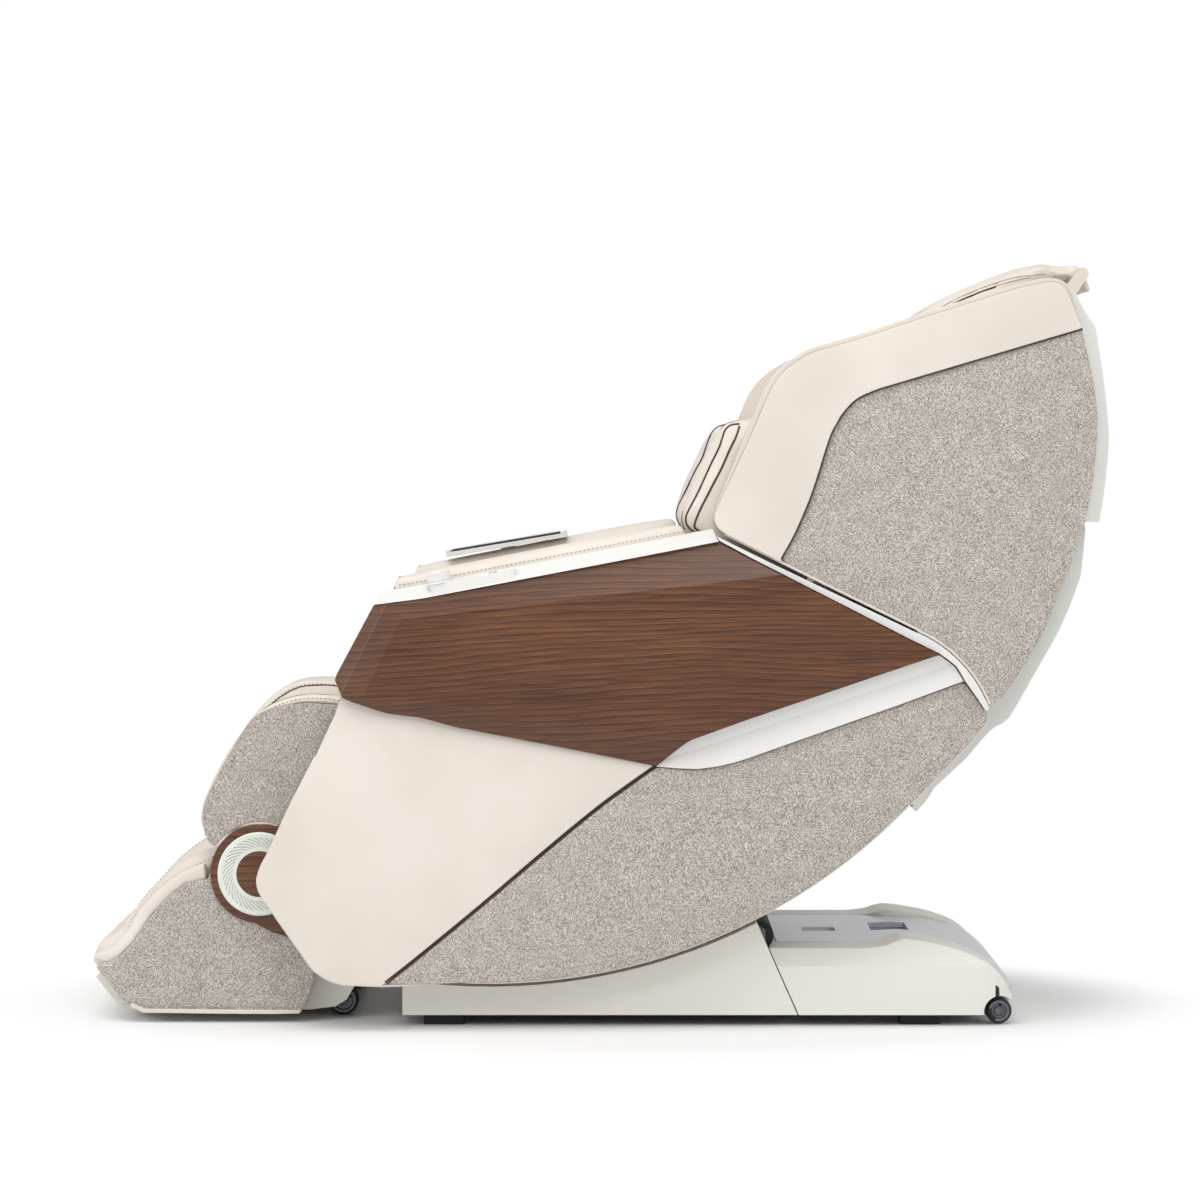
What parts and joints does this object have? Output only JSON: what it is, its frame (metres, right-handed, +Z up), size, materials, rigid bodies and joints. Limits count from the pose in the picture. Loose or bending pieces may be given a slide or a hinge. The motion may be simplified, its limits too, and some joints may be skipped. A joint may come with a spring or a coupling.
{
  "type": "massage chair",
  "caption": "Reclining massage chair with wood-faced arms, wing backrest, calf and foot wells, and a rocking base.",
  "frame": {"origin": "centre of the bounding box's base, on the floor", "axes": "+Z up, -Y the way the sitter faces, +X to the sitter's left"},
  "size_m": [0.75, 1.572, 1.17],
  "materials": {
    "cream_leather": "soft semi-matt leather",
    "heather_fabric": "woven heather fabric",
    "walnut": "open-grain walnut, satin",
    "white_plastic": "smooth white moulding",
    "shell_plastic": "light warm-grey moulding",
    "silver_plastic": "silver-grey satin moulding",
    "black_plastic": "black moulding",
    "black_rubber": "black rubber",
    "frame_steel": "black powder-coated steel",
    "bright_steel": "bright steel",
    "screen_glass": "black glass screen in a white tray"
  },
  "bodies": {
    "base": {"base_frame": "frame_steel", "base_front_cover": "shell_plastic", "base_rear_cover": "shell_plastic", "base_top_panel": "silver_plastic", "base_feet": "black_rubber", "rear_bumper": "black_rubber", "power_panel": "black_plastic", "rocking_motor": "black_plastic"},
    "power_switch": {"power_switch": "black_plastic"},
    "rear_wheel_left": {"rear_wheel_left": "black_rubber"},
    "rear_wheel_right": {"rear_wheel_right": "black_rubber"},
    "front_cradle_roller": {"front_cradle_roller": "black_rubber"},
    "rear_cradle_roller": {"rear_cradle_roller": "black_rubber"},
    "seat": {"seat_frame": "frame_steel", "cradle_rails": "bright_steel", "belly_pan": "shell_plastic", "arm_cores": "cream_leather", "arm_front_panels": "cream_leather", "arm_side_panels": "heather_fabric", "left_wood_panel": "walnut", "right_wood_panel": "walnut", "side_trims": "white_plastic", "arm_consoles": "white_plastic", "arm_pads": "cream_leather", "control_pod": "white_plastic", "tablet_dock": "white_plastic", "seat_cushion": "cream_leather", "seat_side_pads": "cream_leather", "recline_actuator": "frame_steel", "leg_actuator": "frame_steel", "control_box": "black_plastic"},
    "control_knob": {"control_knob": "white_plastic"},
    "quick_key": {"quick_key": "white_plastic"},
    "tablet": {"tablet": "screen_glass"},
    "recline_rod": {"recline_rod": "bright_steel"},
    "leg_rod": {"leg_rod": "bright_steel"},
    "back": {"back_frame": "frame_steel", "back_shell": "shell_plastic", "lower_shell": "shell_plastic", "left_wing": "cream_leather", "right_wing": "cream_leather", "wing_fabrics": "heather_fabric", "back_cushion": "cream_leather", "bolsters": "cream_leather", "massage_rails": "frame_steel"},
    "head_pillow": {"head_pillow": "cream_leather"},
    "massage_carriage": {"massage_carriage": "black_plastic"},
    "kneading_head": {"kneading_head": "bright_steel"},
    "upper_rollers": {"upper_rollers": "cream_leather"},
    "lower_rollers": {"lower_rollers": "cream_leather"},
    "calf": {"calf_frame": "shell_plastic", "calf_sides": "heather_fabric", "calf_pads": "cream_leather"},
    "foot_slide": {"foot_slide": "bright_steel"},
    "foot": {"foot_shell": "white_plastic", "foot_sides": "heather_fabric", "foot_pad": "cream_leather", "hinge_covers": "walnut", "hinge_rings": "white_plastic"},
    "foot_casters": {"foot_casters": "black_rubber"}
  },
  "joints": [
    {"name": "body_rock", "type": "hinge", "parent": "base", "child": "seat", "pos_m": [0, -0.16, 0.957], "axis": [-1, 0, 0], "range_deg": [0, 15]},
    {"name": "front_roller_spin", "type": "hinge", "parent": "base", "child": "front_cradle_roller", "pos_m": [0, -0.23847, 0.06013], "axis": [1, 0, 0], "range_deg": [0, 661]},
    {"name": "rear_roller_spin", "type": "hinge", "parent": "base", "child": "rear_cradle_roller", "pos_m": [0, 0.20006, 0.12638], "axis": [1, 0, 0], "range_deg": [0, 529]},
    {"name": "rear_wheel_left_spin", "type": "hinge", "parent": "base", "child": "rear_wheel_left", "pos_m": [0.251, 0.62, 0.0215], "axis": [1, 0, 0], "continuous": true},
    {"name": "rear_wheel_right_spin", "type": "hinge", "parent": "base", "child": "rear_wheel_right", "pos_m": [-0.251, 0.62, 0.0215], "axis": [1, 0, 0], "continuous": true},
    {"name": "power_switch_rock", "type": "hinge", "parent": "base", "child": "power_switch", "pos_m": [-0.0027, 0.4693, 0.103], "axis": [1, 0, 0], "range_deg": [0, 10]},
    {"name": "back_recline", "type": "hinge", "parent": "seat", "child": "back", "pos_m": [0, 0.405, 0.4245], "axis": [-1, 0, 0], "range_deg": [0, 30]},
    {"name": "recline_rod_slide", "type": "slide", "parent": "seat", "child": "recline_rod", "axis": [0, -0.9848, -0.174], "range_m": [0, 0.0345]},
    {"name": "legrest_swing", "type": "hinge", "parent": "seat", "child": "calf", "pos_m": [0, -0.33, 0.44], "axis": [-1, 0, 0], "range_deg": [0, 60]},
    {"name": "leg_rod_slide", "type": "slide", "parent": "seat", "child": "leg_rod", "axis": [0, -0.9976, 0.0698], "range_m": [0, 0.0755]},
    {"name": "foot_extend", "type": "slide", "parent": "calf", "child": "foot_slide", "axis": [0, -0.53, -0.848], "range_m": [0, 0.1]},
    {"name": "foot_tilt", "type": "hinge", "parent": "foot_slide", "child": "foot", "pos_m": [0, -0.517, 0.231], "axis": [1, 0, 0], "range_deg": [0, 20]},
    {"name": "foot_caster_spin", "type": "hinge", "parent": "foot", "child": "foot_casters", "pos_m": [0, -0.394, 0.0245], "axis": [1, 0, 0], "continuous": true},
    {"name": "knob_turn", "type": "hinge", "parent": "seat", "child": "control_knob", "pos_m": [0.351, -0.232, 0.6685], "axis": [0, -0.1882, 0.9821], "continuous": true},
    {"name": "quick_key_press", "type": "slide", "parent": "seat", "child": "quick_key", "axis": [0, 0.1882, -0.9821], "range_m": [0, 0.002], "stiffness_N_per_m": 400, "springref_m": -0.001},
    {"name": "tablet_swivel", "type": "hinge", "parent": "seat", "child": "tablet", "pos_m": [-0.3505, -0.149, 0.727], "axis": [0, -0.165, 0.9863], "range_deg": [-30, 30]},
    {"name": "pillow_flip", "type": "hinge", "parent": "back", "child": "head_pillow", "pos_m": [0, 0.77, 1.157], "axis": [-1, 0, 0], "range_deg": [0, 100]},
    {"name": "carriage_travel", "type": "slide", "parent": "back", "child": "massage_carriage", "axis": [0, 0.4358, 0.9], "range_m": [0, 0.3]},
    {"name": "head_rock", "type": "hinge", "parent": "massage_carriage", "child": "kneading_head", "pos_m": [0, 0.47525, 0.67562], "axis": [1, 0, 0], "range_deg": [-10, 10]},
    {"name": "upper_roller_spin", "type": "hinge", "parent": "kneading_head", "child": "upper_rollers", "pos_m": [0, 0.48537, 0.72405], "axis": [1, 0, 0], "continuous": true},
    {"name": "lower_roller_spin", "type": "hinge", "parent": "kneading_head", "child": "lower_rollers", "pos_m": [0, 0.44354, 0.63765], "axis": [1, 0, 0], "continuous": true}
  ],
  "couplings": [
    {"joint": "front_roller_spin", "follows": "body_rock", "ratio": 44},
    {"joint": "rear_roller_spin", "follows": "body_rock", "ratio": 35.2},
    {"joint": "recline_rod_slide", "follows": "back_recline", "m_per_rad": 0.0643},
    {"joint": "leg_rod_slide", "follows": "legrest_swing", "m_per_rad": 0.0716}
  ]
}
